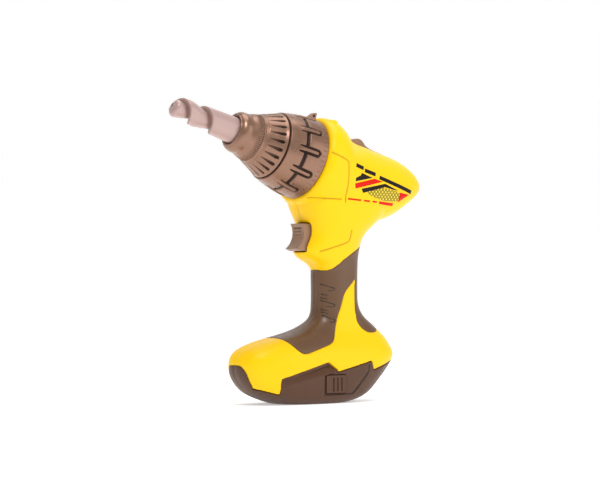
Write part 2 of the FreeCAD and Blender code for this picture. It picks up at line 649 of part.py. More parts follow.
def make_motor():
    flat = barrel_box((-11, 11), (MOTOR_UP - 7.7, MOTOR_UP + 7.7), (MOTOR_REAR - 5, 5))
    can = tube(9.3, 10.1, MOTOR_REAR, MOTOR_FRONT - 0.8, MOTOR_UP)
    can = can.common(flat)
    lids = [barrel_box((-8, 8), (MOTOR_UP + s * 7.2 - 0.5, MOTOR_UP + s * 7.2 + 0.5),
                       (MOTOR_REAR, MOTOR_FRONT - 0.8)).common(rod(10.1, -40, 5, MOTOR_UP)) for s in (-1, 1)]
    front = rod(10.1, MOTOR_FRONT - 0.8, MOTOR_FRONT, MOTOR_UP).common(flat)
    nose = rod(3.0, MOTOR_FRONT, MOTOR_FRONT + 1.6, MOTOR_UP)
    can = can.multiFuse(lids + [front, nose]).cut(rod(1.0 + RUNNING, -40, 5, MOTOR_UP))
    save(can, "motor_can")
    end_cap = rod(10.1, MOTOR_REAR - 2.4, MOTOR_REAR, MOTOR_UP).common(flat)
    end_cap = end_cap.fuse(rod(3.2, MOTOR_REAR - 4.2, MOTOR_REAR - 2.4, MOTOR_UP))
    tabs = [barrel_box((s * 6.5 - 0.3, s * 6.5 + 0.3), (MOTOR_UP - 1.2, MOTOR_UP + 1.2),
                       (MOTOR_REAR - 6.0, MOTOR_REAR - 2.2)) for s in (-1, 1)]
    save(end_cap.cut(rod(1.0 + RUNNING, -40, 0, MOTOR_UP)), "motor_end_cap")
    save(Part.makeCompound([t.cut(end_cap) for t in tabs]), "motor_tabs")
    magnets = tube(6.4, 7.1, MOTOR_REAR + 5, MOTOR_FRONT - 5, MOTOR_UP)
    arc = magnets.cut(barrel_box((-3, 3), (MOTOR_UP - 20, MOTOR_UP + 20), (-50, 5)))
    save(arc, "motor_magnets")
    save(rod(1.0, MOTOR_REAR - 3.6, 7.0, MOTOR_UP), "motor_shaft")
    core = tube(1.0, 6.0, MOTOR_REAR + 6, MOTOR_FRONT - 6, MOTOR_UP)
    for k in range(3):
        turn = 2 * math.pi * k / 3 + 0.4
        core = core.cut(rod(1.9, -40, 5, MOTOR_UP + 5.0 * math.sin(turn), 5.0 * math.cos(turn)))
    save(core, "motor_armature")
    save(tube(1.0, 2.6, MOTOR_REAR + 1.0, MOTOR_REAR + 5.0, MOTOR_UP), "motor_commutator")


# ---- sub-parts: switches and wires --------------------------------------
def make_trigger():
    w = TRIGGER_HALF_WIDTH
    arc_mid, arc_low, arc_high = at(31.4, 115.5, -w), at(37.4, TRIGGER_LOW + 1.6, -w), at(33.0, TRIGGER_HIGH, -w)
    front = Part.Arc(arc_low, arc_mid, arc_high).toShape()
    corners = [arc_high, at(14.0, TRIGGER_HIGH, -w), at(14.0, TRIGGER_LOW, -w), at(33.6, TRIGGER_LOW, -w), arc_low]
    edges = [Part.LineSegment(p, q).toShape() for p, q in zip(corners, corners[1:])]
    block = Part.Face(Part.Wire([front] + edges)).extrude(Vector(2 * w, 0, 0))
    for i in range(6):
        height = 109.6 + i * 2.2
        block = block.cut(box((-4.6, 4.6), (30.6, 42.0), (height, height + 0.7)))
    hollow = box((-w + 2, w - 2), (13.0, 28.0), (TRIGGER_LOW + 2, TRIGGER_HIGH - 2))
    post = Part.makeCylinder(2.0, 10.0, at(19.0, 114.0), Vector(0, -1, 0))
    save(block.cut(hollow).fuse(post), "trigger")
    save(coil(3.0, 0.35, 25.0, 10, at(2.4, 114.0), Vector(0, -1, 0)), "trigger_spring")


def make_switch():
    block = box((-5.5, 5.5), (-9.0, 1.8), (106.5, 121.5))
    stem = Part.makeCylinder(1.6, 8.0, at(1.8, 114.0), Vector(0, -1, 0))
    save(block.fuse(stem), "switch_block")
    leaf = box((-2.0, 2.0), (1.8, 2.2), (107.0, 110.2))
    leaf = leaf.fuse(box((-2.0, 2.0), (2.2, 6.0), (107.0, 107.4)))
    save(leaf, "switch_leaf")


def make_selector():
    knob = [(-4.5, 21.2), (-4.5, 23.9), (-6.1, 26.7), (-8.9, 27.9), (-12.5, 27.5), (-15.9, 25.4),
            (-19.5, 24.4), (-32.5, 23.9), (-33.1, 21.2)]
    places = [Vector(-5.8, up, a) for a, up in knob]
    curve = Part.BSplineCurve()
    curve.interpolate(places[1:-1])
    edges = [Part.LineSegment(places[0], places[1]).toShape(), curve.toShape(),
             Part.LineSegment(places[-2], places[-1]).toShape(),
             Part.LineSegment(places[-1], places[0]).toShape()]
    top = on_barrel(Part.Face(Part.Wire(edges)).extrude(Vector(11.6, 0, 0)))
    stem = barrel_box((-2.7, 2.7), (13.6, 22.0), (-21.5, -9.5))
    save(top.fuse(stem), "selector_slider")
    save(barrel_box((-5.0, 5.0), (8.0, 13.0), (-29.5, -5.5)), "selector_switch")


def make_wires():
    runs = []
    for x in (-2.5, 2.5):
        low = Part.makeCylinder(0.8, 66.0, at(-4.0, 40.4, x), Vector(0, 0, 1))
        runs.append(low)
    save(Part.makeCompound(runs), "power_wires")
    runs = []
    for x in (-6.5, 6.5):
        runs.append(Part.makeCylinder(0.8, 26.0, at(-11.5, 118.0, x), Vector(0, 15.0, 33.0)))
    save(Part.makeCompound(runs), "motor_wires")


# ---- sub-parts: battery pack --------------------------------------------
DOOR_X = 11.5
DOOR_FORE = (6.0, 38.5)
LID_FORE = (-16.0, 58.0)
LATCH_FORE = (5.6, 22.4)
LATCH_HEIGHT = (7.4, 19.6)


def latch_window(grow):
    """The latch's outline, grown all round, standing square to the ground."""
    fore = (LATCH_FORE[0] - grow, LATCH_FORE[1] + grow)
    height = (LATCH_HEIGHT[0] - grow, LATCH_HEIGHT[1] + grow)
    return fore, height


def recess():
    """Shallow pocket in the pack's side: upright at the front, slanted at the rear."""
    outline = [(24.4, 6.2), (24.4, 19.4), (-13.5, 30.6), (-16.6, 30.0), (-16.6, 22.0), (-1.5, 6.2)]
    return side_prism(outline).common(box((21.2, 40.0), (-60, 60), (-5, 60)))


def make_pack(form):
    """The pack's case, the lid over its cells and the door in its sole."""
    block = form.common(below_seam(0.15)).cut(strip(SEAM[:-1], 0.4))
    inside = stance(2.0, high=60.0).common(box((-60, 60), (-60, 120), (2.2, 60)))
    lid_room = box((-60, 60), LID_FORE, (0, 60))
    lid = block.cut(below_seam(2.2)).common(inside).common(lid_room)
    case = block.cut(inside.common(below_seam(2.2))).cut(lid)
    case = case.cut(recess())
    fore, height = latch_window(0.4)
    supports = [box((16.6, 21.0), (-10.0, 27.0), (2.0, 22.0)), box((0, 15.6), (-6.4, -5.2), (2.0, 17.0)),
                box((0, 15.6), (49.6, 50.8), (2.0, 15.0))]
    for support in supports:
        case = case.fuse(support.common(block).common(below_seam(2.3)))
    case = case.cut(box((14.0, 40.0), fore, height))
    case = case.fuse(box((15.5, 16.1), (3.0, 25.0), (2.0, 21.0)).common(block))
    case = case.cut(box((-DOOR_X - 0.3, DOOR_X + 0.3), (DOOR_FORE[0] - 0.3, DOOR_FORE[1] + 0.3), (-1.0, 2.2)))
    save(case.fuse(mirrored(case)), "battery_case")
    lid = lid.fuse(mirrored(lid))
    for x in (-BLADE_X, BLADE_X):
        lid = lid.cut(blade_solid(x, 0.5, 16.0))
    save(lid, "battery_lid")
    plate = box((-DOOR_X, DOOR_X), DOOR_FORE, (0.0, 2.0))
    for i in range(4):
        fore = DOOR_FORE[0] + 4.5 + i * 2.0
        plate = plate.cut(box((-6.0, 6.0), (fore, fore + 0.8), (-1.0, 0.5)))
    screw_fore = DOOR_FORE[1] - 4.5
    plate = plate.cut(Part.makeCylinder(1.2, 4.0, at(screw_fore, -1.0), Vector(0, 0, 1)))
    plate = plate.cut(Part.makeCylinder(2.7, 2.0, at(screw_fore, -1.0), Vector(0, 0, 1)))
    save(plate, "battery_door")
    screw = Part.makeCylinder(1.2, 1.4, at(screw_fore, 0.6), Vector(0, 0, 1))
    screw = screw.fuse(Part.makeCylinder(2.5, 0.7, at(screw_fore, 0.2), Vector(0, 0, 1)))
    save(screw.cut(box((-1.8, 1.8), (screw_fore - 0.3, screw_fore + 0.3), (-0.5, 0.5))), "door_screw")


def blade_solid(x, grow, depth):
    """A flat blade standing square to the seam at x."""
    tilt = math.radians(PACK_TILT)
    top = at(2.5, 34.4)
    along = Vector(0, -math.cos(tilt), -math.sin(tilt))
    down = pack_direction()
    half_length = 3.0 + grow
    half_thick = 0.4 + grow
    corners = []
    for length, reach in ((-half_length, 0), (half_length, 0), (half_length, depth), (-half_length, depth)):
        corner = top.add(Vector(along).multiply(length)).add(Vector(down).multiply(reach))
        corners.append(corner.add(Vector(x - half_thick, 0, 0)))
    return Part.Face(Part.makePolygon(corners + corners[:1])).extrude(Vector(2 * half_thick, 0, 0))


def make_terminals():
    block = box((-9.0, 9.0), (-5.5, 10.5), (32.6, 40.2))
    blades = [blade_solid(x, 0.0, 12.5) for x in (-BLADE_X, BLADE_X)]
    pair = Part.makeCompound([b.cut(block) for b in blades])
    save(block, "terminal_block")
    save(pair, "terminal_blades")


def make_cells():
    cells, springs, plates = [], [], []
    for i, x in enumerate((-CELL_X, CELL_X)):
        start = -2.6 + 1.0 * i
        can = Part.makeCylinder(CELL_R, CELL_LENGTH - 1.5, at(start + 1.0, CELL_Z, x), Vector(0, -1, 0))
        tip = Part.makeCylinder(2.7, 1.0, at(start + CELL_LENGTH - 0.5, CELL_Z, x), Vector(0, -1, 0))
        cells.append(can.fuse(tip))
        springs.append(coil(3.4, 0.35, start + 0.5 + 4.4, 3, at(-4.5, CELL_Z, x), Vector(0, -1, 0)))
        plates.append(box((x - 5, x + 5), (49.1, 49.5), (CELL_Z - 5, CELL_Z + 4)))
        plates.append(box((x - 5, x + 5), (-5.2, -4.9), (CELL_Z - 5, CELL_Z + 5)))
    save(Part.makeCompound(cells), "battery_cells")
    save(Part.makeCompound(springs), "cell_springs")
    save(Part.makeCompound(plates), "cell_contacts")


def leaf_spring(side):
    """Bent strip behind a latch: a foot on the case, a slope and a tip on the pad."""
    outline = [(16.5, 9.0), (16.9, 9.0), (16.9, 11.6), (18.2, 15.4), (18.2, 18.0), (17.8, 18.0),
               (17.8, 15.5), (16.5, 11.7)]
    places = [Vector(side * x, -16.0, height) for x, height in outline]
    return Part.Face(Part.makePolygon(places + places[:1])).extrude(Vector(0, 4.0, 0))


def make_latches():
    for tag, side in (("left", 1), ("right", -1)):
        fore, height = latch_window(0.0)
        pad = box((18.6, 21.8) if side > 0 else (-21.8, -18.6), fore, height)
        for i in range(3):
            centre = 9.6 + i * 3.4
            x = (21.1, 23.0) if side > 0 else (-23.0, -21.1)
            pad = pad.cut(box(x, (centre - 0.55, centre + 0.55), (height[0] + 1.2, height[1] - 1.6)))
        save(pad, tag + "_latch")
        save(leaf_spring(side), tag + "_latch_spring")


form = make_body()
make_screws()
make_pointer()
make_collar()
make_detent_ring()
make_collar_retainer()
make_sleeve()
make_nose()
make_bit()
make_spindle()
make_gear_train()
make_gearbox()
make_motor()
make_trigger()
make_switch()
make_selector()
make_wires()
make_pack(form)
make_terminals()
make_cells()
make_latches()
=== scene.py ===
import json
import math
import bmesh
import bpy
import numpy as np
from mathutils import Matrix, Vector
from mathutils.bvhtree import BVHTree


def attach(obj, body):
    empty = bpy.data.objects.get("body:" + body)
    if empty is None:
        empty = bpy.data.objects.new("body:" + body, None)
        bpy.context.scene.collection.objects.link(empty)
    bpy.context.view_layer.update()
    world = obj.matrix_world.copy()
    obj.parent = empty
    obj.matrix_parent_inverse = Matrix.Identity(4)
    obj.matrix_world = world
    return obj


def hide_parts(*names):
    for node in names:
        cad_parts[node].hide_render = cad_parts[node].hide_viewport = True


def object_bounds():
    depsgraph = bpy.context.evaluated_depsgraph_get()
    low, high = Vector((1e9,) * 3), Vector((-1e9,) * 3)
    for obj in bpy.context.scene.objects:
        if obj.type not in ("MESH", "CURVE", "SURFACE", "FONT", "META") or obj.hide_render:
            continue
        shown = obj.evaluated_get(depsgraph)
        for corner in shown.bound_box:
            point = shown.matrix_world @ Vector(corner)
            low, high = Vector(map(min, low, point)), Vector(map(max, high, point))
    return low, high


# Looks of the toy cordless drill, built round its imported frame. Metres, +Z up; the drill
# points along -Y and its left side faces +X. Along the barrel, "a" is the distance
# forward of the plane y = 0, and an angle of 0 is the left side, 90 degrees the top.

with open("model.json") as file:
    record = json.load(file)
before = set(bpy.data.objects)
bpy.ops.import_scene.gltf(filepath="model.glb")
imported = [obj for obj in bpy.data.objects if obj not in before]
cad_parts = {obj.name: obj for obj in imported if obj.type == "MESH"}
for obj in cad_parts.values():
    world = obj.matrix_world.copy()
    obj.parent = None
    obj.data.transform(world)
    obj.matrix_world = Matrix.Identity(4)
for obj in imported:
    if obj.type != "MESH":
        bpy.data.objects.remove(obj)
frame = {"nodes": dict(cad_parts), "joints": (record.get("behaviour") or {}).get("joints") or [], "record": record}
CAD_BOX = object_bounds()
MM = 0.001
NODES = frame["nodes"]
JOINTS = {joint["name"]: joint for joint in frame["joints"]}

SIDE = Vector((1.0, 0.0, 0.0))
AXIS = Vector(JOINTS["chuck_spin"]["axis"]).normalized()
UP = AXIS.cross(SIDE)
PIVOT = Vector(JOINTS["chuck_spin"]["pos_m"])
ORIGIN = PIVOT - AXIS * (PIVOT.y / AXIS.y)
FAR_SIDE = 80 * MM             # where rays start, outside the drill on either side


# ---- measuring the frame ------------------------------------------------
def coordinates(mesh):
    places = np.empty(len(mesh.vertices) * 3)
    mesh.vertices.foreach_get("co", places)
    return places.reshape(-1, 3)


def reach(node):
    """The rear and front ends of a node along the barrel."""
    along = (coordinates(NODES[node].data) - np.array(ORIGIN)) @ np.array(AXIS)
    return along.min(), along.max()


def tree_of(*meshes):
    """One search tree over several meshes."""
    places, faces = [], []
    for mesh in meshes:
        start = len(places)
        places += [v.co.copy() for v in mesh.vertices]
        faces += [[start + i for i in p.vertices] for p in mesh.polygons]
    return BVHTree.FromPolygons(places, faces)


def outward(angle):
    return SIDE * math.cos(angle) + UP * math.sin(angle)


PROBES = 40                    # rays round the barrel at each place of a profile
PROBE_TURN = 0.37              # the first ray's angle, as a share of a step
PROBE_START = 60 * MM          # further out than any turned node


def outer_profile(node, count, trim):
    """(a, radius) of a turned node's outside, the furthest out at each a."""
    tree = tree_of(NODES[node].data)
    rear, front = reach(node)
    rows = []
    for i in range(count):
        a = rear + trim + (front - rear - 2 * trim) * i / (count - 1)
        radius = 0.0
        for k in range(PROBES):
            direction = outward(2 * math.pi * (k + PROBE_TURN) / PROBES)
            hit = tree.ray_cast(ORIGIN + AXIS * a + direction * PROBE_START, -direction)[0]
            if hit is not None:
                radius = max(radius, (hit - ORIGIN - AXIS * a).length)
        rows.append((a, radius))
    return rows


def softened(rows, passes=2):
    """Evens out the facets of a measured profile."""
    for _ in range(passes):
        middle = [(rows[i][0], (rows[i - 1][1] + 2 * rows[i][1] + rows[i + 1][1]) / 4)
                  for i in range(1, len(rows) - 1)]
        rows = rows[:1] + middle + rows[-1:]
    return rows


def smoothstep(low, high, value):
    share = min(1.0, max(0.0, (value - low) / (high - low)))
    return share * share * (3 - 2 * share)


# ---- materials ----------------------------------------------------------
def linear(red, green, blue):
    """A colour given in 0-255 display values, as the shader wants it."""
    values = [c / 255 for c in (red, green, blue)]
    return tuple(v / 12.92 if v <= 0.04045 else ((v + 0.055) / 1.055) ** 2.4 for v in values) + (1.0,)


def node_of(tree, kind, **settings):
    made = tree.nodes.new(kind)
    for key, value in settings.items():
        if key in made.inputs:
            made.inputs[key].default_value = value
        else:
            setattr(made, key, value)
    return made


def noise_of(tree, coords, scale, detail=3.0, stretch=(1, 1, 1)):
    mapping = node_of(tree, "ShaderNodeMapping")
    mapping.inputs["Scale"].default_value = stretch
    tree.links.new(coords, mapping.inputs["Vector"])
    made = node_of(tree, "ShaderNodeTexNoise", Scale=scale, Detail=detail, Roughness=0.55)
    tree.links.new(mapping.outputs[0], made.inputs["Vector"])
    return made.outputs["Fac"]


def spread(tree, value, low, high, from_low=0.3, from_high=0.7):
    made = node_of(tree, "ShaderNodeMapRange")
    made.inputs["From Min"].default_value = from_low
    made.inputs["From Max"].default_value = from_high
    made.inputs["To Min"].default_value = low
    made.inputs["To Max"].default_value = high
    tree.links.new(value, made.inputs["Value"])
    return made.outputs[0]


def mixed(tree, factor, first, second):
    """A colour between two, each a constant or a socket."""
    made = node_of(tree, "ShaderNodeMix", data_type="RGBA")
    for value, place in ((factor, 0), (first, 6), (second, 7)):
        if isinstance(value, bpy.types.NodeSocket):
            tree.links.new(value, made.inputs[place])
        else:
            made.inputs[place].default_value = value
    return made.outputs[2]


def tinted(colour, factor):
    return tuple(min(1.0, c * factor) for c in colour[:3]) + (1.0,)


def moulded(name, colour, roughness, grain=0.4, bump=0.02, metallic=0.0, mottle=0.06,
            coat=0.0, groove=None, edge=0.0, brushed=(1, 1, 1), specular=0.5):
    """Moulded plastic or metal: mottled colour, uneven gloss, a fine grain and worn edges, with painted shade
    where the mesh's groove attribute is set and a groove colour is given.
    """
    material = bpy.data.materials.new(name)
    material.use_nodes = True
    tree = material.node_tree
    shader = tree.nodes["Principled BSDF"]
    coords = node_of(tree, "ShaderNodeTexCoord").outputs["Object"]
    shader.inputs["Metallic"].default_value = metallic
    shader.inputs["Coat Weight"].default_value = coat
    shader.inputs["Coat Roughness"].default_value = 0.12
    shader.inputs["Specular IOR Level"].default_value = specular

    patches = noise_of(tree, coords, 55.0)
    specks = noise_of(tree, coords, 900.0 / grain, 2.0, brushed)
    base = mixed(tree, patches, tinted(colour, 1 - mottle), tinted(colour, 1 + mottle))
    base = mixed(tree, spread(tree, specks, 0.0, 0.35), base, tinted(colour, 1 - 2.5 * mottle))
    geometry = node_of(tree, "ShaderNodeNewGeometry")
    wear = spread(tree, geometry.outputs["Pointiness"], 0.0, 0.35, 0.53, 0.62)
    base = mixed(tree, wear, base, tinted(colour, 1.35))
    # painted shade: the groove colour darkens the surface in grooves, slots and ridge hollows, as much as the
    # mesh's groove attribute says
    if groove:
        mask = node_of(tree, "ShaderNodeAttribute", attribute_name="groove")
        base = mixed(tree, mask.outputs["Fac"], base, groove)
    tree.links.new(base, shader.inputs["Base Color"])

    smears = noise_of(tree, coords, 130.0, 4.0, (1.0, 2.2, 1.0))
    rough = spread(tree, smears, roughness - 0.06, roughness + 0.08)
    tree.links.new(rough, shader.inputs["Roughness"])

    relief = node_of(tree, "ShaderNodeBump", Strength=0.5, Distance=bump * MM)
    tree.links.new(specks, relief.inputs["Height"])
    if edge:
        rounding = node_of(tree, "ShaderNodeBevel", Radius=edge * MM)
        rounding.samples = 4
        tree.links.new(rounding.outputs[0], relief.inputs["Normal"])
    tree.links.new(relief.outputs[0], shader.inputs["Normal"])
    return material


def dotted(name, ground, dot, pitch):
    """A printed mesh of round dots in staggered rows."""
    material = moulded(name, ground, 0.4, bump=0.01, specular=0.2)
    tree = material.node_tree
    shader = tree.nodes["Principled BSDF"]
    old = shader.inputs["Base Color"].links[0].from_socket
    coords = node_of(tree, "ShaderNodeTexCoord").outputs["Object"]
    mapping = node_of(tree, "ShaderNodeMapping")
    mapping.inputs["Rotation"].default_value = (math.radians(45), 0, 0)
    mapping.inputs["Scale"].default_value = (0, 1 / pitch, 1 / pitch)
    tree.links.new(coords, mapping.inputs["Vector"])
    cell = node_of(tree, "ShaderNodeVectorMath", operation="FRACTION")
    tree.links.new(mapping.outputs[0], cell.inputs[0])
    offset = node_of(tree, "ShaderNodeVectorMath", operation="DISTANCE")
    offset.inputs[1].default_value = (0.0, 0.5, 0.5)
    tree.links.new(cell.outputs[0], offset.inputs[0])
    inside = spread(tree, offset.outputs["Value"], 1.0, 0.0, 0.25, 0.33)
    tree.links.new(mixed(tree, inside, old, dot), shader.inputs["Base Color"])
    return material


YELLOW = linear(249, 200, 2)
GRIP = linear(98, 68, 43)
CHUCK = linear(142, 107, 88)
PACK = linear(82, 52, 33)
BIT = linear(182, 153, 147)
# DARK is painted shade for grooves, slots, ridges and recesses
DARK = linear(38, 22, 14)
RED = linear(214, 26, 2)
BLACK = linear(26, 18, 14)
OLIVE = linear(150, 130, 24)

# the groove colours below are painted shade, laid into the grooves and hollows that each mesh marks
MATERIALS = {
    "yellow_plastic": moulded("yellow_plastic", YELLOW, 0.36, 0.5, 0.012, mottle=0.02, specular=0.2,
                              groove=linear(196, 146, 2)),
    "grip_rubber": moulded("grip_rubber", GRIP, 0.36, 0.5, 0.04, mottle=0.05, groove=DARK, specular=0.5),
    "chuck_plastic": moulded("chuck_plastic", CHUCK, 0.3, 0.6, 0.008, 0.6, 0.02, groove=DARK),
    "pack_plastic": moulded("pack_plastic", PACK, 0.4, 0.5, 0.04, mottle=0.05, groove=DARK, edge=0.3,
                             specular=0.35),
    "bit_plastic": moulded("bit_plastic", BIT, 0.34, 0.6, 0.02, 0.25, 0.03, groove=linear(118, 86, 74)),
    "trigger_plastic": moulded("trigger_plastic", linear(143, 109, 84), 0.4, 0.5, 0.03, 0.15, 0.04,
                               groove=DARK, edge=0.3),
    "steel": moulded("steel", linear(196, 196, 198), 0.28, 0.3, 0.02, 1.0, 0.08, edge=0.15,
                     brushed=(1, 8, 8)),
    "zinc": moulded("zinc", linear(205, 205, 208), 0.2, 0.3, 0.02, 1.0, 0.05, edge=0.2, brushed=(1, 1, 6)),
    "copper": moulded("copper", linear(196, 112, 66), 0.3, 0.2, 0.06, 1.0, 0.12, edge=0.2, brushed=(1, 6, 1)),
    "brass": moulded("brass", linear(208, 170, 92), 0.28, 0.3, 0.02, 1.0, 0.08, edge=0.15, brushed=(6, 1, 1)),
    "white_nylon": moulded("white_nylon", linear(226, 222, 208), 0.45, 0.5, 0.02, mottle=0.04, edge=0.25),
    "black_plastic": moulded("black_plastic", linear(40, 38, 38), 0.45, 0.5, 0.03, mottle=0.1, edge=0.3),
    "cell_wrap": moulded("cell_wrap", linear(34, 84, 138), 0.25, 0.8, 0.01, 0.1, 0.06, 0.4, edge=0.3),
    "wire_red": moulded("wire_red", linear(176, 24, 18), 0.38, 0.5, 0.02, mottle=0.05),
}
PRINTS = {
    "print_black": moulded("print_black", BLACK, 0.4, 0.6, 0.01, mottle=0.1, specular=0.15),
    "print_red": moulded("print_red", RED, 0.4, 0.6, 0.01, mottle=0.05, specular=0.12),
    "print_mesh": dotted("print_mesh", OLIVE, linear(240, 214, 70), 2.3 * MM),
}


def dress_nodes():
    """Gives every carried-over node the finish of its slot."""
    for row in frame["record"]["subparts"]:
        for place in NODES[row["node"]].material_slots:
            place.material = MATERIALS[row["material_slot"]]


# ---- making pieces ------------------------------------------------------
def piece(name, mesh, body, slot, material=None, replaces=()):
    made = bpy.data.objects.new(name, mesh)
    bpy.context.scene.collection.objects.link(made)
    mesh.materials.clear()
    mesh.materials.append(material or MATERIALS[slot])
    mesh.shade_smooth()
    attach(made, body)
    if replaces:
        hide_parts(*replaces)
    return made


def keep_groove_shade(mesh, values):
    # stores how much painted shade each point gets, in the groove attribute
    layer = mesh.attributes.new("groove", "FLOAT", "POINT")
    layer.data.foreach_set("value", np.asarray(values, dtype=np.float32))


def turned(name, rings, around, body, slot, relief=None, loop=True, replaces=()):
    """A solid turned about the barrel. Rings are (a, radius, detailed); relief gives the depth of the outside, and
    the painted shade in its hollows, at (a, angle, radius)."""
    places, dark = [], []
    for a, radius, detailed in rings:
        for k in range(around):
            angle = 2 * math.pi * k / around
            depth, shade = relief(a, angle, radius) if detailed and relief else (0.0, 0.0)
            places.append(ORIGIN + AXIS * a + outward(angle) * (radius - depth))
            dark.append(shade)
    faces = []
    last = len(rings) if loop else len(rings) - 1
    for i in range(last):
        here, there = i * around, (i + 1) % len(rings) * around
        for k in range(around):
            n = (k + 1) % around
            faces.append((here + k, here + n, there + n, there + k))
    if not loop:
        for i, a in ((0, rings[0][0]), (len(rings) - 1, rings[-1][0])):
            places.append(ORIGIN + AXIS * a)
            dark.append(0.0)
            faces += [(i * around + k, i * around + (k + 1) % around, len(places) - 1) for k in range(around)]
    mesh = bpy.data.meshes.new(name)
    mesh.from_pydata(places, [], faces)
    tidy_normals(mesh)
    keep_groove_shade(mesh, dark)
    return piece(name, mesh, body, slot, replaces=replaces)


def tidy_normals(mesh):
    work = bmesh.new()
    work.from_mesh(mesh)
    bmesh.ops.recalc_face_normals(work, faces=work.faces)
    work.to_mesh(mesh)
    work.free()


def rounded_ends(rows, radius, steps=4):
    """Rounds the two ends of an outer profile, given as (a, radius) rows."""
    rings = []
    first, last = rows[0], rows[-1]
    for i in range(steps):
        turn = math.pi / 2 * i / steps
        rings.append((first[0] - radius * math.cos(turn), first[1] - radius * (1 - math.sin(turn)), False))
    rings += [(a, r, True) for a, r in rows]
    for i in range(steps):
        turn = math.pi / 2 * (i + 1) / steps
        rings.append((last[0] + radius * math.sin(turn), last[1] - radius * (1 - math.cos(turn)), False))
    return rings


def final_mesh(made):
    """The mesh of an object with its modifiers worked in."""
    bpy.context.view_layer.update()
    graph = bpy.context.evaluated_depsgraph_get()
    return bpy.data.meshes.new_from_object(made.evaluated_get(graph))


def skin_of(node, voxel, passes):
    """An even, soft-edged mesh over a node's shape."""
    source = bpy.data.objects.new("source", NODES[node].data.copy())
    bpy.context.scene.collection.objects.link(source)
    remesh = source.modifiers.new("even", "REMESH")
    remesh.mode = "VOXEL"
    remesh.voxel_size = voxel
    soften = source.modifiers.new("soften", "SMOOTH")
    soften.factor = 0.5
    soften.iterations = passes
    mesh = final_mesh(source)
    bpy.data.objects.remove(source)
    while mesh.attributes.get("custom_normal"):
        mesh.attributes.remove(mesh.attributes["custom_normal"])
    return mesh


def distance_to_path(places, path):
    """Each place's distance to a line of points."""
    nearest = np.full(len(places), 1.0)
    for start, end in zip(path, path[1:]):
        start, run = np.array(start), np.array(end) - np.array(start)
        share = np.clip((places - start) @ run / max(run @ run, 1e-12), 0, 1)
        nearest = np.minimum(nearest, np.linalg.norm(places - start - share[:, None] * run, axis=1))
    return nearest


def split_near(mesh, paths, width):
    """Makes the mesh finer round the paths."""
    near = np.minimum.reduce([distance_to_path(coordinates(mesh), path) for path in paths]) < width
    work = bmesh.new()
    work.from_mesh(mesh)
    work.verts.ensure_lookup_table()
    edges = [e for e in work.edges if near[e.verts[0].index] and near[e.verts[1].index]]
    bmesh.ops.subdivide_edges(work, edges=edges, cuts=1, use_grid_fill=True)
    work.to_mesh(mesh)
    work.free()


def carve(mesh, paths, half_width, depth, splits=2):
    """Presses grooves with soft sides along paths that lie on the mesh, and stores the press as painted shade in
    the groove attribute.
    """
    if not paths:
        keep_groove_shade(mesh, np.zeros(len(mesh.vertices)))
        return
    for i in range(splits):
        split_near(mesh, paths, half_width * 2.2 + 1.0 * MM / (i + 1))
    places = coordinates(mesh)
    normals = np.empty(len(mesh.vertices) * 3)
    mesh.vertices.foreach_get("normal", normals)
    nearest = np.minimum.reduce([distance_to_path(places, path) for path in paths])
    share = np.clip(1 - nearest / half_width, 0, 1)
    press = share * share * (3 - 2 * share)
    places -= normals.reshape(-1, 3) * (press * depth)[:, None]
    mesh.vertices.foreach_set("co", places.ravel())
    mesh.update()
    keep_groove_shade(mesh, press)


def curve_through(points, per_run=8):
    """A smooth line through 2-D points."""
    ends = [points[0]] + list(points) + [points[-1]]
    line = []
    for p0, p1, p2, p3 in zip(ends, ends[1:], ends[2:], ends[3:]):
        for i in range(per_run):
            t = i / per_run
            line.append(tuple(0.5 * (2 * b + (c - a) * t + (2 * a - 5 * b + 4 * c - d) * t * t
                                     + (3 * b - a - 3 * c + d) * t ** 3)
                              for a, b, c, d in zip(p0, p1, p2, p3)))
    return line + [tuple(points[-1])]


def straight(points, per_run=8):
    """Points along the straight runs between corners."""
    line = []
    for p, q in zip(points, points[1:]):
        line += [tuple(a + (b - a) * i / per_run for a, b in zip(p, q)) for i in range(per_run)]
    return line + [tuple(points[-1])]


def onto_side(tree, points, side):
    """Puts (fore, height) points, in millimetres, onto the outside seen from one side."""
    placed = []
    for fore, height in points:
        start = Vector((side * FAR_SIDE, -fore * MM, height * MM))
        hit = tree.ray_cast(start, Vector((-side, 0, 0)))[0]
        if hit is not None:
            placed.append(hit)
    return placed


# ---- the body -----------------------------------------------------------
# grooves on each side of the shells, as (fore, height) in millimetres
PANEL_LINES = [
    straight([(24.0, 171.9), (12.1, 167.4), (10.4, 166.0)]) + straight([(10.2, 165.0), (8.9, 138.5)], 14),
    straight([(35.0, 141.4), (12.5, 140.4)], 12),
    curve_through([(-0.7, 119.3), (-0.5, 112.9), (2.1, 110.7), (13.6, 107.1), (22.0, 104.6)]),
]
SHELL_VOXEL = 0.75 * MM
GRIP_VOXEL = 0.5 * MM


def rib_lines():
    """Three slanted U-shaped grooves on the handle's side, closed at the rear, and dashes."""
    lines = []
    for rear, height, lower in ((9.0, 78.6, 3.6), (9.0, 67.4, 4.6), (9.2, 57.0, 3.2)):
        top = [(rear + 7.4, height + 3.6), (rear + 5.0, height + 2.4), (rear + 1.4, height + 1.2)]
        bend = [(rear - 0.6 * math.cos(t), height + 0.1 + 1.1 * math.sin(t)) for t in (0.8, 0.0, -0.8)]
        low = [(rear + 1.2, height - 1.2), (rear + lower, height - 0.9)]
        lines.append(straight(top + bend + low, 4))
    for rear, height, run in ((13.2, 74.2, 2.8), (13.2, 71.6, 3.0), (13.4, 63.6, 2.8), (13.0, 61.6, 3.4),
                              (13.4, 59.6, 2.8)):
        lines.append(straight([(rear, height), (rear + run, height + 0.4 * run)], 5))
    return lines


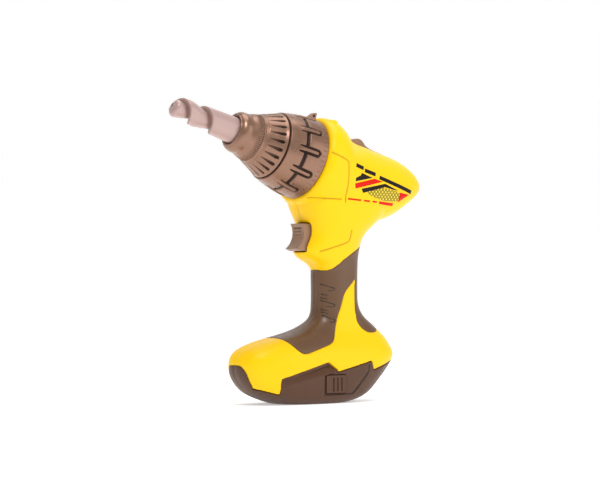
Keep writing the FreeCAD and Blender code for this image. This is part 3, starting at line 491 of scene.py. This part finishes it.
def make_shells():
    skins = []
    for tag, side in (("left", 1), ("right", -1)):
        node = tag + "_housing"
        mesh = skin_of(node, SHELL_VOXEL, 3)
        tree = tree_of(mesh)
        paths = [onto_side(tree, line, side) for line in PANEL_LINES]
        carve(mesh, paths, 0.95 * MM, 0.45 * MM)
        piece(tag + "_shell", mesh, "housing", "yellow_plastic", replaces=[node])
        skins.append(mesh)
        node = tag + "_grip"
        mesh = skin_of(node, GRIP_VOXEL, 3)
        tree = tree_of(mesh)
        paths = [onto_side(tree, line, side) for line in rib_lines()]
        carve(mesh, [path for path in paths if len(path) > 1], 0.55 * MM, 0.4 * MM)
        piece(tag + "_soft_grip", mesh, "housing", "grip_rubber", replaces=[node])
    return tree_of(*skins)


# ---- printed stripes on the head ----------------------------------------
FILM = 0.25 * MM               # thickness of a print, most of it sunk in the shell
FILM_EDGE = 1.3 * MM           # longest edge of a print's mesh
PRINT_LIFT = 0.09 * MM         # height of the stripes above the shell
MESH_LIFT = 0.03 * MM          # the dotted oval lies under the stripes
OVAL_CORNERS = 40


def print_patch(name, outline, side, tree, material, lift):
    """A thin printed film that follows the shell inside a (fore, height) outline."""
    work = bmesh.new()
    corners = [work.verts.new((0, -f * MM, h * MM)) for f, h in outline]
    work.faces.new(corners)
    bmesh.ops.triangulate(work, faces=work.faces)
    for _ in range(12):
        long_edges = [e for e in work.edges if e.calc_length() > FILM_EDGE]
        if not long_edges:
            break
        bmesh.ops.subdivide_edges(work, edges=long_edges, cuts=1)
        bmesh.ops.triangulate(work, faces=work.faces)
    for vert in work.verts:
        start = Vector((side * FAR_SIDE, vert.co.y, vert.co.z))
        hit, normal = tree.ray_cast(start, Vector((-side, 0, 0)))[:2]
        if hit is not None:
            vert.co = hit + normal * lift
    mesh = bpy.data.meshes.new(name)
    bmesh.ops.recalc_face_normals(work, faces=work.faces)
    if sum(f.normal.x for f in work.faces) * side < 0:
        bmesh.ops.reverse_faces(work, faces=work.faces)
    work.to_mesh(mesh)
    work.free()
    sheet = bpy.data.objects.new("sheet", mesh)
    bpy.context.scene.collection.objects.link(sheet)
    thicken = sheet.modifiers.new("thicken", "SOLIDIFY")
    thicken.thickness = FILM
    thicken.offset = -1
    solid = final_mesh(sheet)
    bpy.data.objects.remove(sheet)
    return piece(name, solid, "housing", "yellow_plastic", material)


def bar(start, end, half):
    """A bar of even width between two (fore, height) points."""
    run = Vector((end[0] - start[0], end[1] - start[1]))
    off = Vector((-run.y, run.x)).normalized() * half
    return [(start[0] - off.x, start[1] - off.y), (end[0] - off.x, end[1] - off.y),
            (end[0] + off.x, end[1] + off.y), (start[0] + off.x, start[1] + off.y)]


def stripe_outlines():
    """Plain stripes along the head, as (name, (fore, height) outline, print)."""
    rows = []
    for i, (start, end) in enumerate((((2.7, 164.2), (-4.9, 162.1)), ((-5.9, 160.8), (-16.8, 158.2)),
                                      ((-20.8, 156.4), (-55.6, 147.2)))):
        rows.append((f"stripe_dash_{i + 1}", bar(start, end, 1.35), "print_black"))
    rows.append(("stripe_wedge", [(-2.7, 158.9), (-13.5, 155.8), (3.1, 152.9), (3.1, 155.2), (-1.7, 157.1)],
                 "print_black"))
    rows.append(("stripe_bar", [(3.4, 151.4), (-15.7, 155.3), (-24.0, 153.5), (2.3, 148.0)], "print_red"))
    block = [(-3.4, 148.0), (-26.6, 152.2), (-41.1, 147.6), (-34.6, 148.4), (-26.0, 149.9),
             (-17.3, 148.8), (-11.4, 146.6), (-5.4, 145.2)]
    rows.append(("stripe_block", block, "print_black"))
    slope = 0.08
    oval = []
    for i in range(OVAL_CORNERS):
        turn = 2 * math.pi * i / OVAL_CORNERS
        along, above = 18.5 * math.cos(turn), 4.3 * math.sin(turn)
        oval.append((-28.0 - along, 144.6 - slope * along + above))
    rows.append(("stripe_mesh", oval, "print_mesh"))
    runs = (((7.1, 140.9), (-4.1, 140.1)), ((-6.7, 139.9), (-12.1, 139.6)), ((-14.6, 139.5), (-19.0, 139.2)))
    for i, (start, end) in enumerate(runs):
        rows.append((f"stripe_line_{i + 1}", bar(start, end, 0.6), "print_red"))
    rows.append(("stripe_line_4", bar((-21.5, 138.9), (-37.4, 138.0), 1.0), "print_red"))
    corner = [(-42.6, 146.6), (-53.4, 145.4), (-42.0, 139.6), (-42.6, 140.9), (-49.6, 144.8),
              (-42.6, 145.5)]
    rows.append(("stripe_corner", corner, "print_red"))
    return rows


def make_prints(tree):
    for tag, side in (("left", 1), ("right", -1)):
        for name, outline, material in stripe_outlines():
            lift = MESH_LIFT if material == "print_mesh" else PRINT_LIFT
            print_patch(f"{tag}_{name}", outline, side, tree, PRINTS[material], lift)


# ---- collar, chuck and bit ----------------------------------------------
COLLAR_KEYS = 11
COLLAR_TICKS = 48
SLEEVE_SLOTS = 24
NOSE_RIDGES = 72
LOOP_HALF = 1.95 * MM          # from a loop's middle line to the middle of its groove
GROOVE_HALF = 0.85 * MM
LINK_HALF = 1.3 * MM
BORE_R = 4.1 * MM              # radius of the hole through the sleeve's and nose's skins


def collar_relief(rear):
    """Long narrow loops closed at the rear, joined by broad links, and fine ticks."""
    loop_rear, link, loop_front = rear + 8.2 * MM, rear + 16.6 * MM, rear + 21.4 * MM
    step = 2 * math.pi / COLLAR_KEYS

    def relief(a, angle, radius):
        turn = (angle + step / 2) % step - step / 2
        s = turn * radius
        if a <= loop_front:
            ring = abs(math.hypot(s, max(0.0, loop_rear - a)) - LOOP_HALF)
        else:
            ring = math.hypot(abs(s) - LOOP_HALF, a - loop_front)
        narrow = GROOVE_HALF * (0.55 + 0.45 * smoothstep(loop_front, link, a))
        press = 1 - smoothstep(narrow - 0.28 * MM, narrow + 0.22 * MM, ring)
        if abs(s) > LOOP_HALF:
            across = abs(a - link) - LINK_HALF
            press = max(press, 1 - smoothstep(-0.28 * MM, 0.22 * MM, across))
        # painted shade: the pressed loops and links are darkened fully, the fine ticks by 0.45
        dark = press
        tick_step = 2 * math.pi / COLLAR_TICKS
        tick = abs((angle + tick_step / 2) % tick_step - tick_step / 2) * radius
        ends = smoothstep(rear + 1.2 * MM, rear + 1.7 * MM, a)
        ends *= 1 - smoothstep(rear + 3.6 * MM, rear + 4.4 * MM, a)
        fine = (1 - smoothstep(0.08 * MM, 0.34 * MM, tick)) * ends
        inside = 0.0
        if abs(s) < LOOP_HALF and a > loop_rear and a < loop_front + 2 * MM:
            fade = smoothstep(loop_front + 2 * MM, loop_front - 2 * MM, a)
            inside = (1 - (s / LOOP_HALF) ** 2) * 0.45 * MM * fade
        return press * 1.35 * MM + fine * 0.22 * MM - inside * (1 - press), max(dark, fine * 0.45)

    return relief


def make_collar():
    rear, front = reach("torque_collar")
    rows = softened(outer_profile("torque_collar", 104, 0.55 * MM))
    rings = rounded_ends(rows, 0.55 * MM)
    inner = [(front, rows[-1][1] - 3.0 * MM), (front - 7 * MM, rows[-1][1] - 2.6 * MM),
             (rear + 19 * MM, 12.6 * MM), (rear + 16 * MM, 12.6 * MM),
             (rear + 8 * MM, rows[0][1] - 3.4 * MM), (rear, rows[0][1] - 3.0 * MM)]
    rings += [(a, r, False) for a, r in inner]
    turned("torque_collar_skin", rings, COLLAR_KEYS * 72, "torque_collar", "chuck_plastic",
           collar_relief(rear), replaces=["torque_collar"])


def sleeve_relief(rear):
    """Teardrop slots, wide and round at the rear, fading out towards the front."""
    wide, thin = rear + 3.6 * MM, rear + 13.0 * MM
    step = 2 * math.pi / SLEEVE_SLOTS

    def relief(a, angle, radius):
        turn = (angle + step / 2) % step - step / 2
        s = abs(turn * radius)
        share = min(1.0, max(0.0, (a - wide) / (thin - wide)))
        half = 1.2 * MM * (1 - share) + 0.2 * MM * share
        outside = math.hypot(s, a - wide) if a < wide else (s if a < thin else s + a - thin)
        press = 1 - smoothstep(half - 0.25 * MM, half + 0.2 * MM, outside)
        # the second value is painted shade in the slots, lighter towards the front
        return press * (1.7 * (1 - share) ** 0.6 + 0.05) * MM, press * (1 - 0.6 * share)

    return relief


def make_sleeve():
    rear, front = reach("chuck_sleeve")
    rows = outer_profile("chuck_sleeve", 96, 0.5 * MM)
    rings = rounded_ends(rows, 0.5 * MM)
    inner = [(front, 12.0 * MM), (front, BORE_R), (rear, BORE_R), (rear, 14.0 * MM)]
    rings += [(a, r, False) for a, r in inner]
    turned("chuck_sleeve_skin", rings, SLEEVE_SLOTS * 26, "chuck", "chuck_plastic",
           sleeve_relief(rear), replaces=["chuck_sleeve"])


def nose_relief(rear):
    """Fine ridges round the nose's rear, fading out forwards."""

    def relief(a, angle, radius):
        fade = 1 - smoothstep(rear + 1.5 * MM, rear + 6.0 * MM, a)
        wave = 0.5 - 0.5 * math.cos(angle * NOSE_RIDGES)
        # the second value is painted shade in the ridges' hollows
        return wave * fade * 0.42 * MM, wave * fade * 0.6

    return relief


def make_nose():
    rear, front = reach("chuck_nose")
    rows = softened(outer_profile("chuck_nose", 80, 0.4 * MM), 3)
    bore, floor = 9.8 * MM, rear + 4.8 * MM
    rings = rounded_ends(rows, 0.4 * MM)
    inner = [(front - 0.2 * MM, bore + 0.25 * MM), (front - 0.8 * MM, bore), (floor, bore),
             (floor, BORE_R), (rear, BORE_R), (rear, rows[0][1] - 1.5 * MM)]
    rings += [(a, r, False) for a, r in inner]
    turned("chuck_nose_skin", rings, NOSE_RIDGES * 8, "chuck", "chuck_plastic",
           nose_relief(rear), replaces=["chuck_nose"])


FLUTE_PITCH = 17.6 * MM
FLUTE_ZERO = 110.4 * MM        # where the flute's sharp edge crosses the left side
FLUTE_FROM = 98 * MM           # the bit is plain behind this place
BIT_RINGS = 190


def bit_relief(a, angle, radius):
    """One fat spiral flute: a sharp edge, then a slope that climbs back to full size."""
    turn = (angle + math.pi) % (2 * math.pi) - math.pi
    along = a - FLUTE_ZERO - FLUTE_PITCH * turn / (2 * math.pi)
    count = math.floor(along / FLUTE_PITCH)
    share = along / FLUTE_PITCH - count
    edge_at = a - share * FLUTE_PITCH
    depth = 4.0 * MM * smoothstep(100 * MM, 106.5 * MM, edge_at)
    press = smoothstep(0.0, 0.06, share) * max(0.0, 1 - share / 0.78) ** 1.25
    # the second value is painted shade in the deepest part of the flute, just behind its sharp edge, fading as the
    # slope climbs
    return depth * press, press * smoothstep(0.35, 0.0, share) * smoothstep(101 * MM, 106 * MM, edge_at)


def make_bit():
    start, tip = reach("drill_bit")
    rear_r, tip_r, taper_a = 9.2 * MM, 7.3 * MM, 90.3 * MM
    dome = 5.0 * MM
    rings = []
    for i in range(BIT_RINGS):
        a = start + (tip - start) * i / (BIT_RINGS - 1)
        radius = rear_r + (tip_r - rear_r) * min(1.0, max(0.0, (a - taper_a) / (tip - taper_a)))
        if a > tip - dome:
            share = (a - tip + dome) / dome
            radius *= max(0.03, (1 - share ** 2.6)) ** (1 / 2.6)
        rings.append((a, radius, a > FLUTE_FROM))
    for share in (0.75, 0.5, 0.25):
        rings.append((tip, rings[BIT_RINGS - 1][1] * share, False))
    turned("drill_bit_skin", rings, 256, "chuck", "bit_plastic", bit_relief, loop=False,
           replaces=["drill_bit"])


# ---- trigger, selector, pack --------------------------------------------
def even_piece(node, name, body, slot, voxel, passes, shape=None, lines=()):
    """A soft-edged skin for a node, reshaped if asked, with grooves along (fore, height) lines."""
    mesh = skin_of(node, voxel, passes)
    if shape:
        places = coordinates(mesh)
        shape(places)
        mesh.vertices.foreach_set("co", places.ravel())
        mesh.update()
    tree = tree_of(mesh)
    paths = [onto_side(tree, line, side) for line in lines for side in (1, -1)]
    carve(mesh, [path for path in paths if len(path) > 1], 0.7 * MM, 0.5 * MM)
    return piece(name, mesh, body, slot, replaces=[node])


def make_small_parts():
    even_piece("trigger", "trigger_skin", "trigger", "trigger_plastic", 0.32 * MM, 2)
    even_piece("selector_slider", "selector_skin", "selector", "trigger_plastic", 0.3 * MM, 3)
    even_piece("torque_pointer", "pointer_skin", "housing", "chuck_plastic", 0.2 * MM, 2)


CREASE = ((59.0, 12.6), (13.8, 22.2))     # (fore, height) ends of the pack's bevel crease
# grooves round the latch's recess: front and bottom, slanted rear, and the slant again, which
# broadens it
RECESS_LINES = [straight([(23.6, 19.0), (23.6, 6.4), (-0.6, 6.4)], 14),
                straight([(-0.6, 6.4), (-14.6, 21.6), (-15.0, 26.0)], 14),
                straight([(-2.0, 7.0), (-14.0, 20.0)], 14)]


def bevel_pack(places):
    """Leans the pack's side inwards above the crease, ahead of the latch."""
    (f0, h0), (f1, h1) = CREASE
    fore, height = -places[:, 1] / MM, places[:, 2] / MM
    line = h0 + (h1 - h0) * (fore - f0) / (f1 - f0)
    above = np.clip(height - line, 0, 12)
    fade = np.clip((f0 + 0.3 - fore) / 0.5, 0, 1) * np.clip((fore - f1 + 0.5) / 0.5, 0, 1)
    outside = np.clip((np.abs(places[:, 0]) / MM - 18.5) / 1.0, 0, 1)
    places[:, 0] -= np.sign(places[:, 0]) * above * fade * outside * 0.55 * MM


def make_pack():
    even_piece("battery_case", "battery_case_skin", "pack", "pack_plastic", 0.5 * MM, 2, bevel_pack,
               RECESS_LINES)


# ---- stage, light and camera --------------------------------------------
def make_stage():
    """A pale floor that sweeps up into a plain backdrop behind the drill."""
    work = bmesh.new()
    depth, radius, rise, half = 3.2, 1.6, 5.0, 7.0
    profile = [(-6.0, 0.0), (depth, 0.0)]
    profile += [(depth + radius * math.sin(t), radius * (1 - math.cos(t)))
                for t in [math.pi / 2 * i / 16 for i in range(1, 17)]]
    profile.append((depth + radius, rise))
    away = Vector((-0.819, 0.574, 0)).normalized()      # level, away from the camera
    across = Vector((-away.y, away.x, 0))
    rows = []
    for d, h in profile:
        rows.append([work.verts.new(away * d + across * s + Vector((0, 0, h))) for s in (-half, half)])
    for low, high in zip(rows, rows[1:]):
        work.faces.new((low[0], low[1], high[1], high[0]))
    bmesh.ops.recalc_face_normals(work, faces=work.faces)
    mesh = bpy.data.meshes.new("floor")
    work.to_mesh(mesh)
    work.free()
    mesh.shade_smooth()
    floor = bpy.data.objects.new("floor", mesh)
    bpy.context.scene.collection.objects.link(floor)
    paper = moulded("pale_floor", (0.95, 0.95, 0.95, 1.0), 0.8, 0.8, 0.01, mottle=0.004, specular=0.1)
    shader = paper.node_tree.nodes["Principled BSDF"]
    shader.inputs["Emission Color"].default_value = (1.0, 1.0, 1.0, 1.0)
    shader.inputs["Emission Strength"].default_value = 0.42
    mesh.materials.append(paper)


def area_light(name, place, aim, size, power):
    light = bpy.data.lights.new(name, "AREA")
    light.shape = "DISK"
    light.size = size
    light.energy = power
    made = bpy.data.objects.new(name, light)
    made.location = place
    made.rotation_euler = (Vector(aim) - Vector(place)).to_track_quat("-Z", "Y").to_euler()
    bpy.context.scene.collection.objects.link(made)


def make_light():
    world = bpy.data.worlds.new("studio")
    world.use_nodes = True
    world.node_tree.nodes["Background"].inputs["Color"].default_value = (1.0, 1.0, 1.0, 1.0)
    world.node_tree.nodes["Background"].inputs["Strength"].default_value = 0.46
    bpy.context.scene.world = world
    aim = (CAD_BOX[0] + CAD_BOX[1]) / 2
    area_light("key", aim + Vector((0.75, -0.30, 1.0)), aim, 0.45, 7.2)
    area_light("top", aim + Vector((-0.1, 0.15, 1.1)), aim, 0.9, 5.5)
    area_light("fill", aim + Vector((0.9, 0.7, 0.3)), aim, 0.8, 2.2)
    bpy.context.scene.view_settings.view_transform = "Standard"


CAMERA_PLACE = (1.13262, -0.82290, 0.086)
CAMERA_LOOK = (-0.81894, 0.57370, 0.01429)


def make_camera():
    """Ahead of the drill and to its left, a little under its mid height, looking slightly up."""
    lens = bpy.data.cameras.new("camera")
    lens.lens = 120.0
    lens.sensor_width = 36.0
    camera = bpy.data.objects.new("camera", lens)
    camera.location = CAMERA_PLACE
    camera.rotation_euler = Vector(CAMERA_LOOK).to_track_quat("-Z", "Y").to_euler()
    bpy.context.scene.collection.objects.link(camera)
    bpy.context.scene.camera = camera


make_camera()
make_stage()
make_light()
dress_nodes()
shell_tree = make_shells()
make_prints(shell_tree)
make_collar()
make_sleeve()
make_nose()
make_bit()
make_small_parts()
make_pack()


def corners(box):
    return [list(corner) for corner in box]
